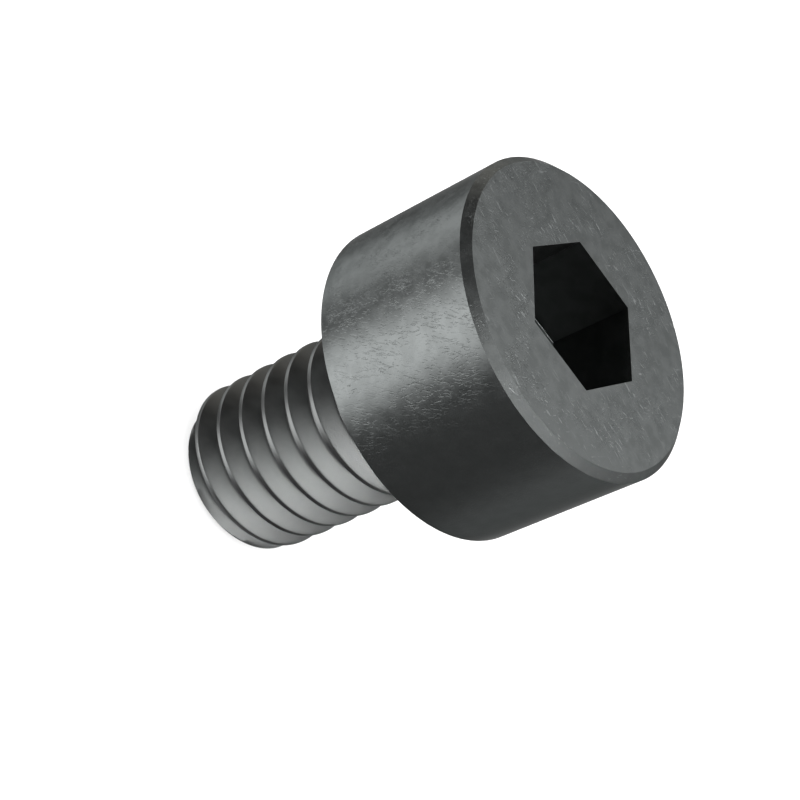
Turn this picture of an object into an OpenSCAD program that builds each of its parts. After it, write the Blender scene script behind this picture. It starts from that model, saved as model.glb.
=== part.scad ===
// Socket head cap screw with a metric coarse thread, M4 x 6, in millimetres.
// The origin is the middle of the bearing face under the head. +Z runs along
// the axis towards the head, and the tip is at the bottom.

/* [Head] */
// Diameter of the cylindrical head
head_d = 7; // [6:0.1:8]
// Height of the head above its bearing face
head_h = 3.89; // [3.4:0.01:4.6]
// Width and height of the 45 degree chamfer round the top of the head
head_chamfer = 0.17; // [0.05:0.01:0.4]

/* [Drive socket] */
// Width of the hexagonal socket across its flats
socket_flats = 3.04; // [2.5:0.01:3.3]
// Depth of the socket from the top of the head to its flat floor
socket_depth = 2; // [1.5:0.05:2.5]

/* [Shank] */
// Length of the shank from the bearing face to the tip
shank_length = 6; // [4:0.5:12]
// Radius of the fillet where the shank meets the bearing face
neck_fillet = 0.2; // [0.05:0.01:0.25]
// Width and height of the 45 degree chamfer round the tip
tip_chamfer = 0.31; // [0.1:0.01:0.42]

/* [Thread] */
// Diameter over the crests of the thread
thread_d = 3.9; // [3.8:0.01:4.2]
// Distance from one crest to the next
pitch = 0.7; // [0.5:0.05:0.75]
// Angle between the two flanks of a groove
flank_angle = 60; // [55:1:62]
// Width of the flat along each crest
crest_flat = 0.1; // [0.05:0.01:0.14]
// Width of the flat along each root
root_flat = 0.12; // [0.06:0.01:0.16]
// Plain length between the bearing face and the end of the thread
neck_length = 0.45; // [0.35:0.05:1.5]
// Turns over which the groove rises to the surface at the head end
runout_turns = 1; // [0.25:0.25:1.5]
// Angle round the axis at which a crest reaches the tip
start_angle = 325; // [0:1:359]

/* [Hidden] */
$fn = 96;

// A cut goes this far past the surface that it opens
past = 1;

head_r = head_d / 2;
thread_r = thread_d / 2;

// The groove narrows with depth by this much on each side, and its depth
// follows from the pitch and the two flats.
flank_slope = tan(flank_angle / 2);
thread_depth = (pitch - crest_flat - root_flat) / 2 / flank_slope;
root_r = thread_r - thread_depth;

// The groove's cutter stands a little proud of the crests, by less than
// would make its neighbouring turns meet.
cutter_r = thread_r + crest_flat / 4 / flank_slope;
steps_per_turn = 48;

// Turns are counted from where the middle of the groove meets the tip's
// plane, which is half a turn before a crest does. The cutter starts clear
// below the tip and ends at the neck.
first_turn = -0.7;
last_turn = (shank_length - neck_length) / pitch;
groove_steps = ceil((last_turn - first_turn) * steps_per_turn);

// Radius of the groove's floor, which climbs out of the shank over the
// last turns and stops just inside the cutter's own outer face.
function floor_radius(turn) =
    let (risen = max(0, 1 - (last_turn - turn) / runout_turns))
    root_r + 0.98 * risen * (cutter_r - root_r);

// Half the width of the groove at its outer face, for a given floor
function half_width(floor_r) =
    root_flat / 2 + (cutter_r - floor_r) * flank_slope;

// Point at a radius and a height, at an angle round the axis
function on_axis_plane(angle, r, z) = [r * cos(angle), r * sin(angle), z];

// The four corners of the groove's section, lower side first
function groove_section(turn) =
    let (
        angle = start_angle - 180 + 360 * turn,
        z = -shank_length + pitch * turn,
        floor_r = floor_radius(turn),
        outer = half_width(floor_r)
    )
    [
        on_axis_plane(angle, floor_r, z - root_flat / 2),
        on_axis_plane(angle, cutter_r, z - outer),
        on_axis_plane(angle, cutter_r, z + outer),
        on_axis_plane(angle, floor_r, z + root_flat / 2)
    ];

// Right-handed V groove, swept up the helix section by section
module thread_groove() {
    points = [
        for (i = [0 : groove_steps])
            each groove_section(
                first_turn + (last_turn - first_turn) * i / groove_steps
            )
    ];
    last = 4 * groove_steps;
    sides = [
        for (i = [0 : groove_steps - 1], j = [0 : 3])
            let (
                a = 4 * i + j,
                b = 4 * i + (j + 1) % 4
            )
            each [[a, b, b + 4], [a, b + 4, a + 4]]
    ];
    ends = [
        [3, 2, 1, 0],
        [last, last + 1, last + 2, last + 3]
    ];
    polyhedron(points, concat(sides, ends));
}

// Half section of the head, with its top edge chamfered
module head_profile() {
    polygon([
        [0, 0],
        [head_r, 0],
        [head_r, head_h - head_chamfer],
        [head_r - head_chamfer, head_h],
        [0, head_h]
    ]);
}

// Half section of the shank before the thread is cut, reaching into the head
module shank_profile() {
    polygon([
        [0, -shank_length],
        [thread_r - tip_chamfer, -shank_length],
        [thread_r, -shank_length + tip_chamfer],
        [thread_r, head_h / 2],
        [0, head_h / 2]
    ]);
}

// Half section of the fillet under the head
module neck_fillet_profile() {
    translate([thread_r, -neck_fillet])
        difference() {
            translate([-neck_fillet, 0])
                square([2 * neck_fillet, 2 * neck_fillet]);
            translate([neck_fillet, 0])
                circle(neck_fillet);
        }
}

// The turned blank: head, shank and fillet in one piece
module blank() {
    rotate_extrude() {
        head_profile();
        shank_profile();
        neck_fillet_profile();
    }
}

// Hexagonal socket for the key, with a corner on +X
module drive_socket() {
    translate([0, 0, head_h - socket_depth])
        cylinder(
            h = socket_depth + past,
            d = socket_flats / cos(30),
            $fn = 6
        );
}

module cap_screw() {
    color("#4b4e4e")
        difference() {
            blank();
            drive_socket();
            thread_groove();
        }
}

cap_screw();
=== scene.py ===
# %% [markdown]
# A short socket head cap screw of blackened steel. The CAD frame comes first:
# it holds the screw's true size and place, and everything made here is
# measured against it. It stands on its flat tip, head up, with the origin in
# the middle of the bearing face under the head.

# %% Load the CAD frame
import math

import bpy
import numpy as np
from mathutils import Matrix


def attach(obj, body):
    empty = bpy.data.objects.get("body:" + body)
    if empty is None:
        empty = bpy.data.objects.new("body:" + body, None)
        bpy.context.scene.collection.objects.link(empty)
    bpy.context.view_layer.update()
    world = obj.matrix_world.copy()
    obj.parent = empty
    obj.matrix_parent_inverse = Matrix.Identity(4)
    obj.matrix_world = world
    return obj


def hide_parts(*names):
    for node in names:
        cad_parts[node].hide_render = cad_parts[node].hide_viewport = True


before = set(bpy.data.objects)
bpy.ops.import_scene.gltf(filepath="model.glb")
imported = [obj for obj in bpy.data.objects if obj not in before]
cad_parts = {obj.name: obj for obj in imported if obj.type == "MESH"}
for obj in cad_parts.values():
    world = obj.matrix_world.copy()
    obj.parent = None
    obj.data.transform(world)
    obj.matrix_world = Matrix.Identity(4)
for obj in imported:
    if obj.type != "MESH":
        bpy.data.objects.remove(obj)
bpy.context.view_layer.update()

MM = 0.001

# %% [markdown]
# The sizes repeat the source's, in millimetres. The head is a plain cylinder
# with a chamfered top and a hexagonal socket. The shank is threaded almost up
# to the head, with 60 degree flanks and a small flat on each crest and root.

# %% Sizes of the screw
HEAD_R = 3.5
HEAD_H = 3.89
HEAD_CHAMFER = 0.17
SOCKET_FLATS = 3.04
SOCKET_DEPTH = 2.0
SHANK_L = 6.0
NECK_FILLET = 0.2
TIP_CHAMFER = 0.31
THREAD_R = 1.95
PITCH = 0.7
FLANK_ANGLE = 60
CREST_FLAT = 0.1
ROOT_FLAT = 0.12
NECK_L = 0.45
RUNOUT_TURNS = 1.0
START_ANGLE = math.radians(325)

# The groove narrows with depth by this share on each side. The source's
# cutter stands a little proud of the crests, and it ends at the neck.
FLANK_SLOPE = math.tan(math.radians(FLANK_ANGLE / 2))
ROOT_R = THREAD_R - (PITCH - CREST_FLAT - ROOT_FLAT) / 2 / FLANK_SLOPE
CUTTER_R = THREAD_R + CREST_FLAT / 4 / FLANK_SLOPE
LAST_TURN = (SHANK_L - NECK_L) / PITCH
print(f"root radius {ROOT_R:.3f} mm, groove {THREAD_R - ROOT_R:.3f} mm deep")

# %% [markdown]
# A rolled thread has no razor edges: the dies leave a small round at each
# corner of its crests and roots. A bevel could make them, but a bevel on a
# helix leaves torn faces where the thread fades out. A soft maximum of two
# heights gives just that round, with one number for how wide it is.

# %% Soft corners
CREST_ROUND = 0.016
ROOT_ROUND = 0.05


def soft_max(a, b, width):
    """The larger of a and b, with the corner where they cross rounded.

    Half of the sum plus half of the root of (difference squared plus width
    squared).
    """
    return (a + b + np.sqrt((a - b) ** 2 + width**2)) / 2


def soft_min(a, b, width):
    """The smaller of a and b, rounded in the same way."""
    return -soft_max(-a, -b, width)


print(f"a crest's corner is taken down by {CREST_ROUND / 2:.3f} mm")

# %% [markdown]
# The groove is a V that is swept up a helix. Over its last turn the floor of
# the V climbs out of the shank, which is how a thread fades out under the
# head. It could be cut with a boolean, but a formula for the radius at each
# turn and height gives cleaner faces. Turns are counted from where the middle
# of the groove meets the plane of the tip.

# %% Shape of the groove
# The share of the way to the cutter's own face that the floor climbs
RUNOUT_REACH = 0.98
# Above the last turn there is no groove: its floor lies outside the shank
NO_GROOVE = CUTTER_R + 1


def floor_radius(turn):
    """Radius of the groove's floor at a given turn.

    The root radius, plus a share of the way out to the cutter's own face
    that grows from 0 to the run-out's reach over the last turn.
    """
    risen = np.clip(1 - (LAST_TURN - turn) / RUNOUT_TURNS, 0, 1)
    return ROOT_R + RUNOUT_REACH * risen * (CUTTER_R - ROOT_R)


def thread_radius(turn, offset, z):
    """Radius of the shank at a distance along the axis from a groove.

    The groove's flank rises from the floor by the offset beyond half the
    root flat, divided by the tangent of half the V's angle. Crest and tip
    chamfer then each cap it.
    """
    rise = (np.abs(offset) - ROOT_FLAT / 2) / FLANK_SLOPE
    groove = floor_radius(turn) + soft_max(rise, 0, ROOT_ROUND)
    groove = np.where(turn > LAST_TURN, NO_GROOVE, groove)
    shank = soft_min(groove, THREAD_R, CREST_ROUND)
    cone = THREAD_R - TIP_CHAMFER + (z + SHANK_L)
    return soft_min(shank, cone, CREST_ROUND)


# %% [markdown]
# The shank's skin is a grid. Its columns stand round the axis and its rows
# run up the helix with the thread, so that every crest and root corner lies
# along a row and stays clean. After one turn the rows have climbed by one
# pitch, so the last column meets the first with its rows moved on by one
# groove. Rows below the tip or above the neck are folded onto those planes.

# %% Grid of the threaded shank
COLUMNS = 240
every_column = np.arange(COLUMNS)
angles = every_column * 2 * math.pi / COLUMNS

# Root rows lie at set distances from a groove's middle, and rows round the
# crest's corner at set distances from that corner. Between them, flank rows
# lie at shares of the way up.
ROOT_STEPS = np.array([0.015, 0.03, 0.045, 0.06, 0.075, 0.095])
FLANK_SHARES = np.array([0.2, 0.4, 0.6, 0.8, 0.9])
CREST_STEPS = np.array([-0.014, -0.006, 0.0, 0.006, 0.014, 0.028])

# The crest's corner is never laid out closer to the middle than this, or the
# rows would cross where the groove fades out.
NARROWEST = 0.16

# Grooves whose rows cover the shank, from below the tip to above the neck
GROOVES = np.arange(-2, 11)


def groove_offsets(half_width):
    """Rows from a groove's middle almost to the next crest's middle.

    Root rows, then flank rows as shares between the last root row and the
    first crest row, then crest rows.
    """
    corner = half_width[..., None]
    low = ROOT_STEPS[-1]
    flank = low + FLANK_SHARES * (corner + CREST_STEPS[0] - low)
    root = np.broadcast_to(ROOT_STEPS, corner.shape[:-1] + ROOT_STEPS.shape)
    return np.concatenate([root, flank, corner + CREST_STEPS], axis=-1)


column_turn = (angles[:, None] - START_ANGLE) / (2 * math.pi)
turns = GROOVES[None, :] + 0.5 + column_turn
half_width = ROOT_FLAT / 2 + (THREAD_R - floor_radius(turns)) * FLANK_SLOPE
up_side = groove_offsets(np.clip(half_width, NARROWEST, None))
middle = np.zeros(up_side.shape[:-1] + (1,))
crest = np.full_like(middle, PITCH / 2)
offsets = np.concatenate([-crest, -up_side[..., ::-1], middle, up_side], axis=-1)
rows_per_groove = offsets.shape[-1]

heights = -SHANK_L + PITCH * turns[..., None] + offsets
row_turn = np.broadcast_to(turns[..., None], heights.shape).reshape(COLUMNS, -1)
row_z = heights.reshape(COLUMNS, -1)
row_count = row_z.shape[1]

# The last row below the tip is raised to it, and the first row above the
# neck is lowered to it. Each row's distance from its groove follows from
# where it now lies.
first_row = np.argmax(row_z >= -SHANK_L, axis=1) - 1
last_row = np.argmax(row_z >= -NECK_FILLET, axis=1)
row_z[every_column, first_row] = -SHANK_L
row_z[every_column, last_row] = -NECK_FILLET
row_offset = row_z + SHANK_L - PITCH * row_turn
row_r = thread_radius(row_turn, row_offset, row_z)
row_r[every_column, last_row] = THREAD_R
print(f"{rows_per_groove} rows a turn, {row_count} rows in all")

# %% [markdown]
# The head is turned, so it is a profile of rings round the axis. From the
# top face inwards the rings change from circles to the socket's hexagon. The
# column angles are multiples of 1.5 degrees, so a column stands in each of
# the six corners. The punch leaves a small round where the socket's walls
# meet its floor, and it catches a little light from above. A cylinder with a
# bevel and a cut would do too, but its points wouldn't meet the shank's.

# %% Helpers for a half section
def line(start, end, steps):
    """Points on a straight line in the half section, without the start."""
    share = np.linspace(0, 1, steps + 1)[1:, None]
    return np.array(start) * (1 - share) + np.array(end) * share


def quarter(centre, radius, first, last, steps):
    """Points on an arc in the half section, between two angles in degrees."""
    angle = np.radians(np.linspace(first, last, steps + 1))[:, None]
    return np.array(centre) + radius * np.hstack([np.cos(angle), np.sin(angle)])


# %% Outside of the head
EDGE_ROUND = 0.012

fillet_centre = (THREAD_R + NECK_FILLET, -NECK_FILLET)
fillet = quarter(fillet_centre, NECK_FILLET, 180, 90, steps=8)
edge_centre = (HEAD_R - EDGE_ROUND, EDGE_ROUND)
lower_edge = quarter(edge_centre, EDGE_ROUND, -90, 0, steps=3)
chamfer_foot = (HEAD_R, HEAD_H - HEAD_CHAMFER)
chamfer_top = (HEAD_R - HEAD_CHAMFER, HEAD_H)
outside = np.vstack([
    fillet[1:],
    line(fillet[-1], lower_edge[0], steps=5),
    lower_edge[1:],
    line(lower_edge[-1], chamfer_foot, steps=8),
    line(chamfer_foot, chamfer_top, steps=2),
])
outside_r = np.repeat(outside[:, :1], COLUMNS, axis=1)
outside_z = np.repeat(outside[:, 1:], COLUMNS, axis=1)
print(f"{len(outside)} rings from the fillet to the top of the chamfer")

# %% [markdown]
# The socket was punched with a hexagonal tool, so its walls are flat, its
# corners sharp and its floor level. Each of its rings is the rim's hexagon,
# drawn in by one share all round, so that the walls stay flat down to the
# round at their foot.

# %% Top face and socket
SOCKET_R = SOCKET_FLATS / 2
SOCKET_FLOOR = HEAD_H - SOCKET_DEPTH
FOOT_ROUND = 0.018
FACE_RINGS = 9


def hexagon_radius(angle):
    """Distance from the axis to the socket's wall.

    Half the width across the flats, divided by the cosine of the angle to
    the middle of the nearest flat. A corner lies on +X.
    """
    sixth = math.pi / 3
    return SOCKET_R / np.cos(np.mod(angle, sixth) - sixth / 2)


hexagon = hexagon_radius(angles)
face_share = np.linspace(0, 1, FACE_RINGS + 1)[1:, None]
face_r = (1 - face_share) * chamfer_top[0] + face_share * hexagon
foot_centre = (SOCKET_R - FOOT_ROUND, SOCKET_FLOOR + FOOT_ROUND)
foot = quarter(foot_centre, FOOT_ROUND, 0, -90, steps=4)
socket = np.vstack([
    line((SOCKET_R, HEAD_H), foot[0], steps=8),
    foot[1:],
    line(foot[-1], (0, SOCKET_FLOOR), steps=5)[:-1],
])
socket_r = socket[:, :1] / SOCKET_R * hexagon
socket_z = np.repeat(socket[:, 1:], COLUMNS, axis=1)
ring_r = np.vstack([outside_r, face_r, socket_r])
ring_z = np.vstack([outside_z, np.full_like(face_r, HEAD_H), socket_z])
print(f"{len(ring_r)} rings from the fillet to the socket's floor")

# %% [markdown]
# Shank, head and tip share their columns, so they join into one closed skin
# without a seam, as the real screw is one piece of steel. Every corner of a
# face is a number in one list of points.

# %% Points of the skin
TIP_SHARES = np.array([0.75, 0.5, 0.25])


def to_xyz(radius, z, angle):
    """Points from a radius, a height and an angle round the axis.

    Across it, the radius times the cosine and the sine of the angle.
    """
    return np.stack([radius * np.cos(angle), radius * np.sin(angle), z], axis=-1)


shank_points = to_xyz(row_r, row_z, angles[:, None]).reshape(-1, 3)
head_points = to_xyz(ring_r, ring_z, angles[None, :]).reshape(-1, 3)
tip_edge = row_r[every_column, first_row]
tip_r = TIP_SHARES[:, None] * tip_edge[None, :]
tip_z = np.full_like(tip_r, -SHANK_L)
tip_points = to_xyz(tip_r, tip_z, angles[None, :]).reshape(-1, 3)
centres = np.array([[0, 0, SOCKET_FLOOR], [0, 0, -SHANK_L]])
points = np.vstack([shank_points, head_points, tip_points, centres])
head_start = len(shank_points)
tip_start = head_start + len(head_points)
socket_centre = len(points) - 2
tip_centre = len(points) - 1
print(f"{len(points)} points, folded rows included")

# %% [markdown]
# Four neighbouring points make a face. The rows that are folded onto the tip
# and the neck give faces with no width. Where a corner's number repeats, it
# is dropped: that turns some quads into triangles, and the rest vanish.

# %% Faces of the skin
def shank_index(column, row):
    """Number of a shank point, with the seam and the two folds applied."""
    wrapped = column == COLUMNS
    column = np.where(wrapped, 0, column)
    row = np.where(wrapped, row + rows_per_groove, row)
    row = np.clip(row, first_row[column], last_row[column])
    return column * row_count + row


def ring_faces(rings):
    """Faces between each ring of point numbers and the next one."""
    following = np.roll(rings, -1, axis=1)
    corners = [rings[:-1], following[:-1], following[1:], rings[1:]]
    return np.stack(corners, axis=-1).reshape(-1, 4)


def first_uses(quads):
    """True for each corner of a quad that differs from the one before it."""
    return quads != np.roll(quads, 1, axis=1)


column = every_column[:, None]
row = np.arange(row_count - 1)[None, :]
shank_faces = np.stack([
    shank_index(column, row),
    shank_index(column + 1, row),
    shank_index(column + 1, row + 1),
    shank_index(column, row + 1),
], axis=-1).reshape(-1, 4)

neck_ring = every_column * row_count + last_row
tip_ring = every_column * row_count + first_row
head_rings = head_start + np.arange(len(head_points)).reshape(-1, COLUMNS)
head_rings = np.vstack([neck_ring, head_rings, np.full(COLUMNS, socket_centre)])
tip_rings = tip_start + np.arange(len(tip_points)).reshape(-1, COLUMNS)
tip_rings = np.vstack([np.full(COLUMNS, tip_centre), tip_rings[::-1], tip_ring])
head_faces = ring_faces(head_rings)
tip_faces = ring_faces(tip_rings)
print(f"{len(shank_faces)} shank quads, {len(head_faces)} on the head")

# %% [markdown]
# The finish differs a little over the screw: the head is scuffed from
# handling, the rolled thread is smoother, and the socket is out of reach of
# both. Three finishes on the one skin are kept as material numbers. The edges
# of the chamfer, socket and tip stay crisp, and the thread's rounded corners
# stay smooth, because an edge is only sharp above a set angle.

# %% Make the mesh
HEAD_FINISH, THREAD_FINISH, SOCKET_FINISH = 0, 1, 2
SHARP_DEGREES = 38


def add_object(name, data):
    """A new object in the scene, for a mesh, a lamp or a camera."""
    made = bpy.data.objects.new(name, data)
    bpy.context.scene.collection.objects.link(made)
    return made


# The socket's faces start below its rim and end at the middle of its floor
ring_of_face = np.repeat(np.arange(len(head_rings) - 1), COLUMNS)
rim_ring = len(head_rings) - 2 - len(socket)
quads = np.vstack([shank_faces, head_faces, tip_faces])
finish = np.concatenate([
    np.full(len(shank_faces), THREAD_FINISH),
    np.where(ring_of_face >= rim_ring, SOCKET_FINISH, HEAD_FINISH),
    np.full(len(tip_faces), THREAD_FINISH),
])

keep = first_uses(quads)
corners = keep.sum(axis=1)
real = corners >= 3
quads, keep, corners, finish = quads[real], keep[real], corners[real], finish[real]
used, loops = np.unique(quads[keep], return_inverse=True)
points = points[used] * MM

mesh = bpy.data.meshes.new("cap_screw_skin")
mesh.vertices.add(len(points))
mesh.vertices.foreach_set("co", points.astype(np.float32).ravel())
mesh.loops.add(len(loops))
mesh.loops.foreach_set("vertex_index", loops.astype(np.int32).ravel())
mesh.polygons.add(len(quads))
starts = np.concatenate([[0], np.cumsum(corners)[:-1]])
mesh.polygons.foreach_set("loop_start", starts.astype(np.int32))
mesh.polygons.foreach_set("material_index", finish.astype(np.int32))
mesh.update(calc_edges=True)
mesh.validate()
mesh.polygons.foreach_set("use_smooth", np.ones(len(quads), dtype=bool))
mesh.set_sharp_from_angle(angle=math.radians(SHARP_DEGREES))
screw = add_object("cap_screw_skin", mesh)
triangles = int((corners - 2).sum())
print(f"{len(points)} points, {len(quads)} faces, {triangles} triangles")

# %% [markdown]
# A closed skin has every edge between exactly two faces, and its signed
# volume is positive when the faces point outwards. Both are worked out from
# the mesh, and the volume should be close to the source's 192.6 cubic mm. It
# is a sixth of the sum, over all triangles, of the first corner dotted with
# the cross product of the other two.

# %% Check the skin
edge_use = np.zeros(len(mesh.edges), dtype=int)
edge_of_loop = np.empty(len(mesh.loops), dtype=np.int32)
mesh.loops.foreach_get("edge_index", edge_of_loop)
np.add.at(edge_use, edge_of_loop, 1)
mesh.calc_loop_triangles()
tri = np.empty(len(mesh.loop_triangles) * 3, dtype=np.int32)
mesh.loop_triangles.foreach_get("vertices", tri)
a, b, c = np.moveaxis(points[tri.reshape(-1, 3)] / MM, 1, 0)
volume = np.einsum("ij,ij->", a, np.cross(b, c)) / 6
print("edges without two faces:", int((edge_use != 2).sum()))
print(f"volume {volume:.1f} cubic mm")

# %% [markdown]
# The skin takes the place of the CAD node, and rides on the one body. A screw
# has nothing that moves, so there is no joint to follow.

# %% Put the skin on the frame
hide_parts("cap_screw")
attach(screw, "root")
print(screw.name, "rides on root")

# %% [markdown]
# Blackened steel is a thin dark oxide over metal. It reflects like dark
# metal, with a satin gloss. Its marks could be painted on a picture, but
# noise on the object's own coordinates needs none, and it stays put on the
# steel from every side. The helpers here join such patterns.

# %% Helpers for node materials
def new_material(name):
    """A material, with its node tree and its Principled shader."""
    material = bpy.data.materials.new(name)
    material.use_nodes = True
    shader = material.node_tree.nodes["Principled BSDF"]
    return material, material.node_tree, shader


def math_node(tree, operation, *inputs):
    """One step of arithmetic. Inputs are numbers or sockets."""
    made = tree.nodes.new("ShaderNodeMath")
    made.operation = operation
    for slot, value in zip(made.inputs, inputs):
        if isinstance(value, bpy.types.NodeSocket):
            tree.links.new(value, slot)
        else:
            slot.default_value = value
    return made.outputs[0]


def vector_node(tree, operation, first, second=None, output="Vector"):
    """One step on vectors. The second is a socket, fixed or left out."""
    made = tree.nodes.new("ShaderNodeVectorMath")
    made.operation = operation
    tree.links.new(first, made.inputs[0])
    if isinstance(second, bpy.types.NodeSocket):
        tree.links.new(second, made.inputs[1])
    elif second is not None:
        made.inputs[1].default_value = second
    return made.outputs[output]


def ramp(tree, value, low, high, to_low=0.0, to_high=1.0):
    """Carries a value smoothly from one range to another, held at the ends."""
    made = tree.nodes.new("ShaderNodeMapRange")
    made.interpolation_type = "SMOOTHSTEP"
    made.inputs["From Min"].default_value = low
    made.inputs["From Max"].default_value = high
    made.inputs["To Min"].default_value = to_low
    made.inputs["To Max"].default_value = to_high
    tree.links.new(value, made.inputs["Value"])
    return made.outputs["Result"]


def place_in_mm(tree, shift=(0, 0, 0), stretch=(1, 1, 1), turn=None):
    """Object coordinates in millimetres, for a pattern.

    They are turned about an axis by an angle in degrees, if both are given,
    then stretched and moved.
    """
    coordinates = tree.nodes.new("ShaderNodeTexCoord")
    place = coordinates.outputs["Object"]
    if turn is not None:
        axis, degrees = turn
        turned = tree.nodes.new("ShaderNodeVectorRotate")
        turned.inputs["Axis"].default_value = axis
        turned.inputs["Angle"].default_value = math.radians(degrees)
        tree.links.new(place, turned.inputs["Vector"])
        place = turned.outputs["Vector"]
    mapping = tree.nodes.new("ShaderNodeMapping")
    mapping.inputs["Scale"].default_value = [s / MM for s in stretch]
    mapping.inputs["Location"].default_value = shift
    tree.links.new(place, mapping.inputs["Vector"])
    return mapping.outputs["Vector"]


def noise(tree, place, scale, detail=2.0, roughness=0.5, distortion=0.0):
    """Smooth noise, with so many waves a millimetre."""
    made = tree.nodes.new("ShaderNodeTexNoise")
    made.inputs["Scale"].default_value = scale
    made.inputs["Detail"].default_value = detail
    made.inputs["Roughness"].default_value = roughness
    made.inputs["Distortion"].default_value = distortion
    tree.links.new(place, made.inputs["Vector"])
    return made.outputs["Fac"]


# %% [markdown]
# The head is full of tiny dents and scuffs from loose screws that rubbed on
# each other, mostly one way. They are short dashes. The peaks of a fine noise
# that is drawn out along one direction give just such marks, and a slow noise
# gathers them in patches. Layers at different angles cross each other. One
# side is quieter than the rest, and the top face has marks of its own.

# %% Scuff marks
# A layer's shift, the axis and degrees of its turn, its marks a millimetre,
# their length in widths, and the height of the noise above which they show
RUB_AXIS = (0.42, -0.91, 0)
SIDE_LAYERS = [
    ((3, 1, 7), (RUB_AXIS, 27), 24.0, 5.0, 0.61),
    ((9, 4, 2), (RUB_AXIS, 38), 19.0, 4.0, 0.63),
    ((5, 8, 1), (RUB_AXIS, 8), 21.0, 4.0, 0.64),
]
FACE_LAYERS = [
    ((2, 6, 9), ((0.72, -0.69, 0), 90), 19.0, 6.0, 0.665),
    ((6, 2, 8), ((0.88, -0.47, 0), 83), 17.0, 5.0, 0.68),
    ((4, 9, 5), ((0.94, 0.34, 0), 90), 20.0, 4.0, 0.69),
]
# A mark fades in over this much of the noise's height, and wobbles a little
MARK_EDGE = 0.07
MARK_WOBBLE = 0.6

# Between the patches, the marks keep this share of their strength
PATCHES_PER_MM = 1.3
PATCH_RANGE = (0.38, 0.60)
BARE_SHARE = 0.2


def scuffs(tree, shift, turn, scale, length, peak):
    """1 on a mark and 0 beside it.

    The part above the peak of a noise that is drawn out to a length, in
    multiples of its width, along the direction that the turn puts on z.
    """
    place = place_in_mm(tree, shift, (1, 1, 1 / length), turn)
    wave = noise(tree, place, scale, detail=1.0, distortion=MARK_WOBBLE)
    return ramp(tree, wave, peak, peak + MARK_EDGE)


def strongest(tree, layers):
    """The largest of a few layers of marks at each point, in patches."""
    total = None
    for layer in layers:
        marks = scuffs(tree, *layer)
        total = marks if total is None else math_node(tree, "MAXIMUM", total, marks)
    patches = noise(tree, place_in_mm(tree, (7, 7, 2)), PATCHES_PER_MM)
    patches = ramp(tree, patches, *PATCH_RANGE, BARE_SHARE, 1.0)
    return math_node(tree, "MULTIPLY", total, patches)


print(f"{len(SIDE_LAYERS)} layers of marks on the side, {len(FACE_LAYERS)} on the face")

# %% [markdown]
# The marks aren't spread evenly: the side towards +X has fewer of them. A
# share that depends on the place on the head thins them out there, and the
# chamfer parts the marks of the side from those of the face.

# %% Where the marks lie
# The marks thin out between these distances along the quiet side's direction
QUIET_SIDE = (1.0, -0.1, 0)
QUIET_RANGE = (2.4, 3.2)
QUIET_SHARE = 0.3

# The face's marks start at the foot of the chamfer, and are whole near its top
FACE_MARK_RANGE = (HEAD_H - HEAD_CHAMFER - 0.01, HEAD_H - 0.06)


def rubbed_share(tree):
    """The quiet share on one side of the head, rising to 1 all round it."""
    toward = vector_node(tree, "DOT_PRODUCT", place_in_mm(tree), QUIET_SIDE, "Value")
    return ramp(tree, toward, *QUIET_RANGE, 1.0, QUIET_SHARE)


def face_share_at(tree):
    """0 on the side of the head, rising over the chamfer to 1 on the face."""
    height = vector_node(tree, "DOT_PRODUCT", place_in_mm(tree), (0, 0, 1), "Value")
    return ramp(tree, height, *FACE_MARK_RANGE)


print("the face's marks fade in between heights", np.round(FACE_MARK_RANGE, 2), "mm")

# %% [markdown]
# The head's finish is a cloudy satin oxide. Its scuff marks are rougher and
# lie a hair below the surface. They look dark in a highlight and light
# outside it, because a rough dent mixes the light of many directions. On the
# face and its edge they are rubbed through the oxide, so they are lighter.

# %% Finish of the head
DARK_OXIDE = (0.101, 0.107, 0.106)
LIGHT_OXIDE = (0.122, 0.129, 0.128)
RUBBED_OXIDE = (0.20, 0.21, 0.21)
EDGE_TINT = (0.34, 0.34, 0.34, 1)
HEAD_ROUGHNESS = (0.31, 0.36)
CLOUDS_PER_MM = 3.4
GRAIN_PER_MM = 12.0

# Noise keeps near a half, so these parts of its range hold the whole change
TONE_RANGE = (0.35, 0.65)
ROUGHNESS_RANGE = (0.3, 0.7)

# Depths in millimetres. The marks lie below the surface.
CLOUD_DEPTH = 0.0006
GRAIN_DEPTH = 0.0012
MARK_DEPTH = -0.0027

# How much of the grain the top face loses, and how much rougher a mark is
FACE_SMOOTHING = 0.5
MARK_ROUGHNESS = 0.06


def between(tree, share, first, second):
    """A colour between two, by a share. The first may be a socket."""
    made = tree.nodes.new("ShaderNodeMix")
    made.data_type = "RGBA"
    if isinstance(first, bpy.types.NodeSocket):
        tree.links.new(first, made.inputs["A"])
    else:
        made.inputs["A"].default_value = (*first, 1)
    made.inputs["B"].default_value = (*second, 1)
    tree.links.new(share, made.inputs["Factor"])
    return made.outputs["Result"]


def bump(tree, height, depth_mm, normal=None):
    """Tilts the surface by a pattern of heights, so many millimetres deep."""
    made = tree.nodes.new("ShaderNodeBump")
    made.inputs["Strength"].default_value = 1.0
    made.inputs["Distance"].default_value = depth_mm * MM
    tree.links.new(height, made.inputs["Height"])
    if normal is not None:
        tree.links.new(normal, made.inputs["Normal"])
    return made.outputs["Normal"]


def join_oxide(tree, shader, base, roughness, normal):
    """Joins a finish to its shader, as metal that is greyer at grazing."""
    tree.links.new(base, shader.inputs["Base Color"])
    tree.links.new(roughness, shader.inputs["Roughness"])
    tree.links.new(normal, shader.inputs["Normal"])
    shader.inputs["Metallic"].default_value = 1.0
    shader.inputs["Specular Tint"].default_value = EDGE_TINT


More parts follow.
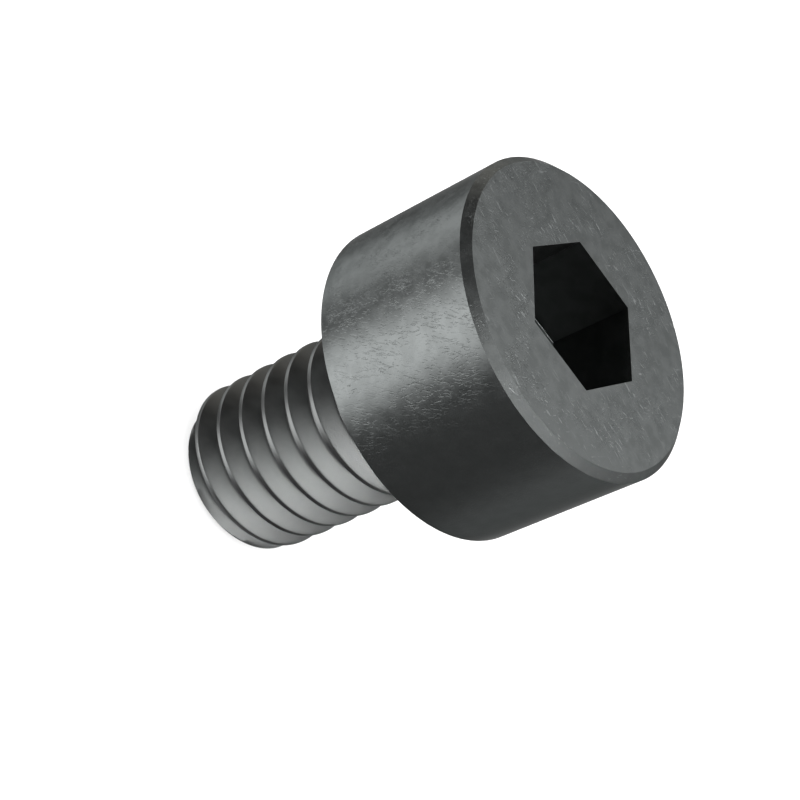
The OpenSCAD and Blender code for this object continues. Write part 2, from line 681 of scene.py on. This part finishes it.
def head_finish():
    """Cloudy, scuffed oxide."""
    material, tree, shader = new_material("blackened_steel_head")
    rubbed = rubbed_share(tree)
    face = face_share_at(tree)

    clouds = noise(tree, place_in_mm(tree), CLOUDS_PER_MM, detail=3.0, roughness=0.55)
    clouds = math_node(tree, "SUBTRACT", clouds, 0.5)
    clouds = math_node(tree, "MULTIPLY_ADD", clouds, rubbed, 0.5)
    grain = noise(tree, place_in_mm(tree, (2, 5, 3)), GRAIN_PER_MM)
    grain_share = math_node(tree, "MULTIPLY_ADD", face, -FACE_SMOOTHING, 1.0)
    grain = math_node(tree, "MULTIPLY", grain, grain_share)
    side_marks = math_node(tree, "MULTIPLY", strongest(tree, SIDE_LAYERS), rubbed)
    face_marks = math_node(tree, "MULTIPLY", strongest(tree, FACE_LAYERS), face)
    marks = math_node(tree, "MAXIMUM", side_marks, face_marks)

    base = between(tree, ramp(tree, clouds, *TONE_RANGE), DARK_OXIDE, LIGHT_OXIDE)
    base = between(tree, face_marks, base, RUBBED_OXIDE)
    rough = ramp(tree, clouds, *ROUGHNESS_RANGE, *HEAD_ROUGHNESS)
    rough = math_node(tree, "MULTIPLY_ADD", marks, MARK_ROUGHNESS, rough)
    normal = bump(tree, clouds, CLOUD_DEPTH)
    normal = bump(tree, grain, GRAIN_DEPTH, normal)
    normal = bump(tree, marks, MARK_DEPTH, normal)
    join_oxide(tree, shader, base, rough, normal)
    return material


head_oxide = head_finish()
print("made", head_oxide.name, "of", len(head_oxide.node_tree.nodes), "nodes")

# %% [markdown]
# The thread was rolled under pressure, so its oxide is smooth and only
# faintly cloudy. The socket's is a little duller, as the punch left it, and a
# little darker, which is painted shade in its recess. One recipe makes both.

# %% Finish of the thread and the socket
PLAIN_CLOUDS_PER_MM = 3.0


def plain_finish(name, shift, dark, light, roughness, depth):
    """Faintly cloudy oxide without marks."""
    material, tree, shader = new_material(name)
    clouds = noise(tree, place_in_mm(tree, shift), PLAIN_CLOUDS_PER_MM, detail=3.0)
    base = between(tree, ramp(tree, clouds, *TONE_RANGE), dark, light)
    rough = ramp(tree, clouds, *ROUGHNESS_RANGE, *roughness)
    join_oxide(tree, shader, base, rough, bump(tree, clouds, depth))
    return material


thread_oxide = plain_finish(
    "blackened_steel_thread",
    shift=(1, 2, 3),
    dark=(0.1095, 0.113, 0.112),
    light=(0.118, 0.122, 0.121),
    roughness=(0.34, 0.38),
    depth=0.0008,
)
# The socket's darker colour is painted shade for the recess, not a different oxide
socket_oxide_and_shade = plain_finish(
    "blackened_steel_socket_and_shade",
    shift=(4, 4, 1),
    dark=(0.090, 0.096, 0.095),
    light=(0.100, 0.106, 0.105),
    roughness=(0.34, 0.40),
    depth=0.002,
)

# The order is that of the finish numbers on the skin
for oxide in (head_oxide, thread_oxide, socket_oxide_and_shade):
    mesh.materials.append(oxide)
print("finishes:", [m.name for m in mesh.materials])

# %% [markdown]
# The screw stands on a white sheet. The sheet is large, so it fills the view
# from above, and it keeps the screw's soft shadow. It has no gloss, or it
# would mirror the lamps.

# %% White floor
FLOOR_R = 0.4
FLOOR_Z = -SHANK_L * MM
FLOOR_SIDES = 64
SHEET_WHITE = (0.7, 0.7, 0.7, 1)
SHEET_ROUGHNESS = 0.8

rim = np.arange(FLOOR_SIDES) * 2 * math.pi / FLOOR_SIDES
floor_points = to_xyz(FLOOR_R, np.full(FLOOR_SIDES, FLOOR_Z), rim)
floor_mesh = bpy.data.meshes.new("floor")
floor_mesh.from_pydata(floor_points.tolist(), [], [list(range(FLOOR_SIDES))])
floor = add_object("floor", floor_mesh)
material, tree, shader = new_material("white_sheet")
shader.inputs["Base Color"].default_value = SHEET_WHITE
shader.inputs["Roughness"].default_value = SHEET_ROUGHNESS
shader.inputs["Specular IOR Level"].default_value = 0.0
floor_mesh.materials.append(material)
print(f"a sheet {2 * FLOOR_R:.1f} m wide at {FLOOR_Z / MM:.1f} mm")

# %% [markdown]
# The world is plain white, and lights the sheet and the shadow on it. Its
# light is even, so it needs no samples of its own.

# %% World
WORLD_LIGHT = 1.5

world = bpy.data.worlds.new("studio")
bpy.context.scene.world = world
world.use_nodes = True
background = world.node_tree.nodes["Background"]
background.inputs["Color"].default_value = (1, 1, 1, 1)
background.inputs["Strength"].default_value = WORLD_LIGHT
world.cycles.sampling_method = "NONE"
print("world light", WORLD_LIGHT)

# %% [markdown]
# Dark metal shows whatever stands round it, so a photographer puts it in a
# tent of grey card with a few bright strips. This tent is a shell round the
# screw that only reflections see. Its lower part lies just over the sheet,
# with a hole for the shank.

# %% Tent of cards
CARD_COLUMNS = 72
TENT_R = 120.0
TENT_GAP = 2.6
TENT_LOW = -SHANK_L + 0.02

tent_profile = np.vstack([
    [[TENT_GAP, TENT_LOW]],
    line((TENT_GAP, TENT_LOW), (TENT_R, TENT_LOW), steps=6),
    quarter((0, TENT_LOW), TENT_R, 0, 90, steps=16)[1:-1],
])
card_angles = np.arange(CARD_COLUMNS) * 2 * math.pi / CARD_COLUMNS
tent_z = np.repeat(tent_profile[:, 1:], CARD_COLUMNS, axis=1)
tent_points = to_xyz(tent_profile[:, :1], tent_z, card_angles).reshape(-1, 3)

# One point closes the top, and the quads round it become triangles
tent_rings = np.arange(len(tent_points)).reshape(-1, CARD_COLUMNS)
tent_rings = np.vstack([tent_rings, np.full(CARD_COLUMNS, len(tent_points))])
tent_points = np.vstack([tent_points, [[0, 0, TENT_R + TENT_LOW]]])
tent_faces = ring_faces(tent_rings)
tent_keep = first_uses(tent_faces)
tent_faces = [face[kept].tolist() for face, kept in zip(tent_faces, tent_keep)]
tent_mesh = bpy.data.meshes.new("card_tent")
tent_mesh.from_pydata((tent_points * MM).tolist(), [], tent_faces)
tent = add_object("card_tent", tent_mesh)
tent.visible_camera = False
tent.visible_diffuse = False
tent.visible_transmission = False
tent.visible_volume_scatter = False
tent.visible_shadow = False
print(f"tent of {len(tent_faces)} cards, {TENT_R:.0f} mm in radius")

# %% [markdown]
# The cards' brightness is a sum of soft patches. A strip has an azimuth and
# a width, and stands from the sheet up to a low height. A spot has a
# direction and an angle at which it fades out. Its strength is below nought
# where a darker card hangs.

# %% Patches of light
def direction(azimuth, elevation):
    """Unit vector to an azimuth and an elevation in degrees."""
    flat = math.cos(math.radians(elevation))
    return np.array([
        flat * math.cos(math.radians(azimuth)),
        flat * math.sin(math.radians(azimuth)),
        math.sin(math.radians(elevation)),
    ])


# A strip is at full strength over this share of its width, and fades out
# between these two elevations in degrees
STRIP_CORE = 0.25
STRIP_LOW = 2
STRIP_TOP = 16


def strip_light(tree, toward, azimuth, width, strength):
    """Falls from its strength to nothing over a width in azimuth."""
    x, y, z = toward
    around = math_node(tree, "ARCTAN2", y, x)
    off = math_node(tree, "SUBTRACT", around, math.radians(azimuth))
    off = math_node(tree, "ABSOLUTE", math_node(tree, "WRAP", off, math.pi, -math.pi))
    core = math.radians(width * STRIP_CORE)
    across = ramp(tree, off, core, math.radians(width), strength, 0.0)
    bottom = math.sin(math.radians(STRIP_LOW))
    top = math.sin(math.radians(STRIP_TOP))
    low = ramp(tree, z, bottom, top, 1.0, 0.0)
    return math_node(tree, "MULTIPLY", across, low)


def spot_light(tree, toward, azimuth, elevation, width, strength, tint):
    """Falls from its tinted strength to nothing over an angle all round."""
    middle = direction(azimuth, elevation)
    near = vector_node(tree, "DOT_PRODUCT", toward, middle, "Value")
    spot = ramp(tree, near, math.cos(math.radians(width)), 1.0, 0.0, strength)
    tinted = tree.nodes.new("ShaderNodeVectorMath")
    tinted.operation = "SCALE"
    tinted.inputs[0].default_value = tint
    tree.links.new(spot, tinted.inputs["Scale"])
    return tinted.outputs[0]


# %% [markdown]
# Each patch was set by what it lights: a strip shows as a band along the
# round side of the head, and a spot on the chamfer, the face or the thread's
# flanks. One spot is warm, as the chamfer's upper edge is. The tent is found
# by reflections alone, so no samples are aimed at it.

# %% Light on the cards
WHITE = (1.0, 1.0, 1.0)
WARM = (1.0, 0.92, 0.82)
CARD_GREY = 0.22

# Azimuth, width and strength
TENT_STRIPS = [
    (-77.5, 32, 3.55),
    (-118, 26, 0.3),
    (-147, 27, 2.45),
    (172, 26, 0.45),
    (135, 18, 1.0),
    (80, 66, 0.72),
]
# Azimuth, elevation, width, strength and tint
TENT_SPOTS = [
    (112, 50, 34, 1.9, WHITE),
    (176, 5, 21, 1.3, WARM),
    (157, -8, 18, 0.9, WHITE),
    (94, 0, 17, 0.4, WHITE),
    (-40, 52, 35, 1.1, WHITE),
    (-174, 38, 30, -0.18, WHITE),
]


def card_light(name, grey, strips, spots):
    """Emission by direction from the middle of the screw.

    The card's grey, plus each strip, plus each spot in its tint.
    """
    material = bpy.data.materials.new(name)
    material.use_nodes = True
    material.cycles.emission_sampling = "NONE"
    tree = material.node_tree
    tree.nodes.clear()
    toward = vector_node(tree, "NORMALIZE", place_in_mm(tree))
    split = tree.nodes.new("ShaderNodeSeparateXYZ")
    tree.links.new(toward, split.inputs[0])
    total = grey
    for strip in strips:
        total = math_node(tree, "ADD", strip_light(tree, split.outputs, *strip), total)
    color = tree.nodes.new("ShaderNodeCombineXYZ")
    for channel in color.inputs:
        tree.links.new(total, channel)
    light = color.outputs[0]
    for spot in spots:
        light = vector_node(tree, "ADD", light, spot_light(tree, toward, *spot))
    emission = tree.nodes.new("ShaderNodeEmission")
    tree.links.new(light, emission.inputs["Color"])
    output = tree.nodes.new("ShaderNodeOutputMaterial")
    tree.links.new(emission.outputs[0], output.inputs["Surface"])
    return material


tent_mesh.materials.append(card_light("tent_light", CARD_GREY, TENT_STRIPS, TENT_SPOTS))
print(f"{len(TENT_STRIPS)} strips and {len(TENT_SPOTS)} spots")

# %% [markdown]
# A row of soft boxes stands over the screw, from straight above it down to
# the right. Their light reaches evenly into the grooves, as in the photo,
# because the screw throws no shadow of theirs: only the sheet stops them.
# Each is round and fades out to its edge, so that they melt into each other.

# %% Soft boxes
BOX_DISTANCE = 60.0
BOX_SPREAD = 30
# Azimuth, elevation and radiance
SOFT_BOXES = [
    (-20, 84, 2.55),
    (36, 68, 3.1),
    (60, 51, 1.8),
    (78, 33, 0.75),
    (16, 40, 0.6),
]


def facing(azimuth, elevation):
    """Right, up and back of something that looks at the middle."""
    back = direction(azimuth, elevation)
    right = np.cross(-back, [0, 0, 1])
    right /= np.linalg.norm(right)
    return right, np.cross(back, right), back


def stand_at(holder, axes, place_mm):
    """Puts a lamp or camera at a place, with its right, up and back axes."""
    pose = np.eye(4)
    pose[:3, :3] = np.stack(axes, axis=1)
    pose[:3, 3] = place_mm * MM
    holder.matrix_world = Matrix(pose.tolist())


def soft_box(azimuth, elevation, radiance, blockers):
    """Disc lamp whose brightness fades from its middle to its edge.

    The radius is the distance times the tangent of the spread. A lamp's
    watts are four times its radiance times the disc's area. Parametric runs
    from 0 to 1 over the disc's square, so its middle is at a half.
    """
    lamp = bpy.data.lights.new("soft_box", "AREA")
    lamp.shape = "DISK"
    lamp.size = 2 * BOX_DISTANCE * math.tan(math.radians(BOX_SPREAD)) * MM
    lamp.energy = 4 * radiance * math.pi / 4 * lamp.size**2
    lamp.use_nodes = True
    lamp.cycles.use_multiple_importance_sampling = False
    tree = lamp.node_tree
    emission = tree.nodes["Emission"]
    geometry = tree.nodes.new("ShaderNodeNewGeometry")
    centred = vector_node(tree, "SUBTRACT", geometry.outputs["Parametric"], (0.5, 0.5, 0))
    off_middle = vector_node(tree, "LENGTH", centred, output="Value")
    fade = ramp(tree, off_middle, 0.0, 0.5, 1.0, 0.0)
    tree.links.new(fade, emission.inputs["Strength"])
    holder = add_object("soft_box", lamp)
    axes = facing(azimuth, elevation)
    stand_at(holder, axes, axes[2] * BOX_DISTANCE)
    holder.visible_camera = False
    holder.light_linking.blocker_collection = blockers


blockers = bpy.data.collections.new("stops_the_soft_boxes")
blockers.objects.link(floor)
for box in SOFT_BOXES:
    soft_box(*box, blockers)
print(f"{len(SOFT_BOXES)} soft boxes, {BOX_DISTANCE:.0f} mm away")

# %% [markdown]
# The camera was solved on the outline of the head and its socket. It looks
# down on the screw from the front left, and is rolled, so that the screw lies
# across the picture.

# %% Camera
CAMERA_AIM = np.array([-0.0003, -0.0007, -1.1107])
CAMERA_AZIMUTH = -51.371
CAMERA_ELEVATION = 36.394
CAMERA_DISTANCE = 45.984
CAMERA_ROLL = math.radians(65.0)
LENS = 97.102
SENSOR_WIDTH = 36

# What the camera can see lies between these distances in metres
NEAREST = 0.001
FARTHEST = 10

level_right, level_up, back = facing(CAMERA_AZIMUTH, CAMERA_ELEVATION)
right = math.cos(CAMERA_ROLL) * level_right + math.sin(CAMERA_ROLL) * level_up
up = np.cross(back, right)
eye = CAMERA_AIM + CAMERA_DISTANCE * back

camera = bpy.data.cameras.new("camera")
camera.sensor_width = SENSOR_WIDTH
camera.lens = LENS
camera.clip_start = NEAREST
camera.clip_end = FARTHEST
viewer = add_object("camera", camera)
stand_at(viewer, (right, up, back), eye)
bpy.context.scene.camera = viewer
bpy.context.scene.view_settings.view_transform = "Standard"
print("camera at", np.round(eye, 2).tolist(), "mm")
